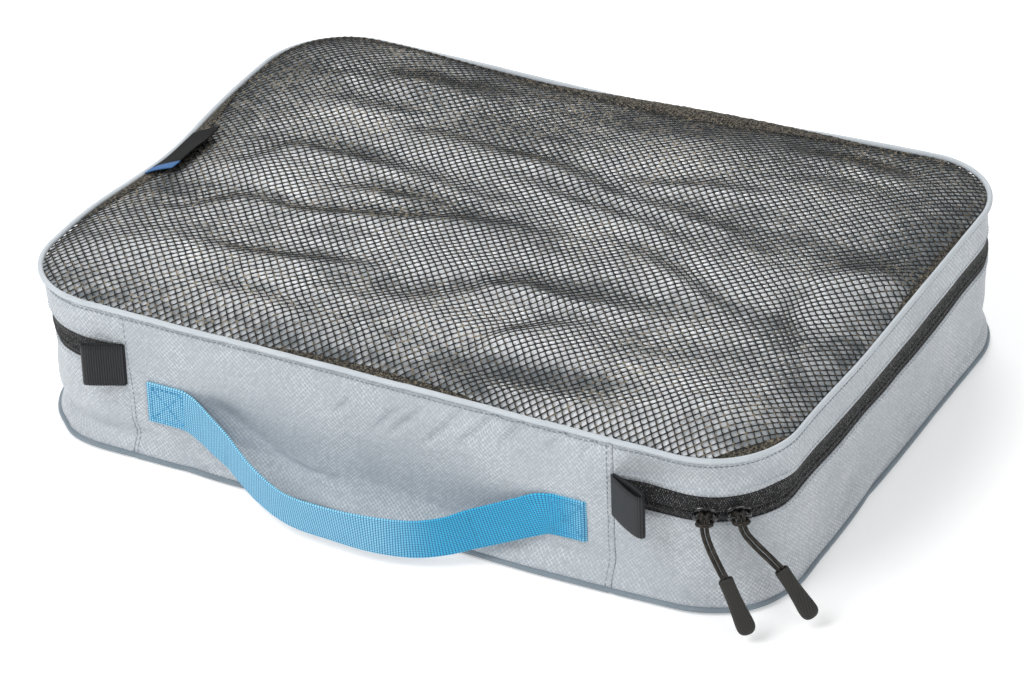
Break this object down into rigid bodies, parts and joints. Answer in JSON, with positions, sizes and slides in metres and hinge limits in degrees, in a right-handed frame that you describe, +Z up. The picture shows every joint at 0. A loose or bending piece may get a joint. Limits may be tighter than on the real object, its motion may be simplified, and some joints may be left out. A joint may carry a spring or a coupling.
{
  "type": "packing cube",
  "caption": "Soft rectangular packing cube with a net-topped lid, a zip round three sides, piped edges, a webbing handle, grab loops and cord zip pulls.",
  "frame": {"origin": "centre of the flat underside of the base panel, where the cube rests", "axes": "+X along the length, -Y out of the handle side, +Z up through the lid"},
  "size_m": [0.4641, 0.3584, 0.0965],
  "materials": {
    "ripstop": "light blue-grey coated ripstop, soft satin",
    "binding": "folded binding tape",
    "bottom_piping": "slate piping cover",
    "top_piping": "pale grey piping cover",
    "piping_cord": "foam cord",
    "film": "thin glossy laminate",
    "net": "open charcoal net",
    "zip_tape": "woven charcoal tape",
    "zip_coil": "nylon coil",
    "slider": "gloss black lacquer",
    "pull_cord": "fine braid",
    "grip": "moulded, fine diagonal ribs",
    "webbing": "open weave webbing",
    "ribbon": "ribbed ribbon",
    "label": "woven tag with a blue end band"
  },
  "bodies": {
    "base": {"base_panel": "ripstop", "base_gusset": "ripstop", "front_panel": "ripstop", "bottom_seam_binding": "binding", "bottom_piping": "bottom_piping", "bottom_piping_core": "piping_cord", "zip_tape_lower": "zip_tape", "zip_coil_lower": "zip_coil", "handle_end_left": "webbing", "handle_end_right": "webbing"},
    "lid": {"laminate_film": "film", "net_panel": "net", "lid_gusset": "ripstop", "top_seam_binding": "binding", "top_piping": "top_piping", "top_piping_core": "piping_cord", "zip_tape_upper": "zip_tape", "zip_coil_upper": "zip_coil"},
    "slider_a": {"slider_a": "slider"},
    "slider_b": {"slider_b": "slider"},
    "pull_a": {"pull_cord_a": "pull_cord", "pull_grip_a": "grip"},
    "pull_b": {"pull_cord_b": "pull_cord", "pull_grip_b": "grip"},
    "handle": {"handle_strap": "webbing"},
    "tab_left": {"tab_left": "ribbon"},
    "tab_right": {"tab_right": "ribbon"},
    "label": {"side_label": "label"}
  },
  "joints": [
    {"name": "lid_hinge", "type": "hinge", "parent": "base", "child": "lid", "pos_m": [0, -0.1606, 0.0881], "axis": [1, 0, 0], "range_deg": [0, 180]},
    {"name": "slider_a_run", "type": "hinge", "parent": "base", "child": "slider_a", "pos_m": [0.17, -0.1125, 0.06], "axis": [0, 0, 1], "range_deg": [-12, 0]},
    {"name": "slider_b_run", "type": "hinge", "parent": "base", "child": "slider_b", "pos_m": [0.17, -0.1125, 0.06], "axis": [0, 0, 1], "range_deg": [0, 42]},
    {"name": "pull_a_swing", "type": "hinge", "parent": "slider_a", "child": "pull_a", "pos_m": [0.18777, -0.16132, 0.0605], "axis": [-0.9397, -0.342, 0], "range_deg": [-10, 90]},
    {"name": "pull_b_swing", "type": "hinge", "parent": "slider_b", "child": "pull_b", "pos_m": [0.20339, -0.1523, 0.0605], "axis": [-0.766, -0.6428, 0], "range_deg": [-10, 90]},
    {"name": "handle_swing", "type": "hinge", "parent": "base", "child": "handle", "pos_m": [0, -0.1594, 0.0385], "axis": [-1, 0, 0], "range_deg": [-10, 45]},
    {"name": "tab_left_swing", "type": "hinge", "parent": "base", "child": "tab_left", "pos_m": [-0.1545, -0.16026, 0.0585], "axis": [0, 0, 1], "range_deg": [-16, 108]},
    {"name": "tab_right_swing", "type": "hinge", "parent": "base", "child": "tab_right", "pos_m": [0.136, -0.16142, 0.061], "axis": [0, 0, 1], "range_deg": [-110, 4]},
    {"name": "label_flip", "type": "hinge", "parent": "lid", "child": "label", "pos_m": [-0.2157, -0.0035, 0.0898], "axis": [0, 1, 0], "range_deg": [-110, 0]}
  ]
}
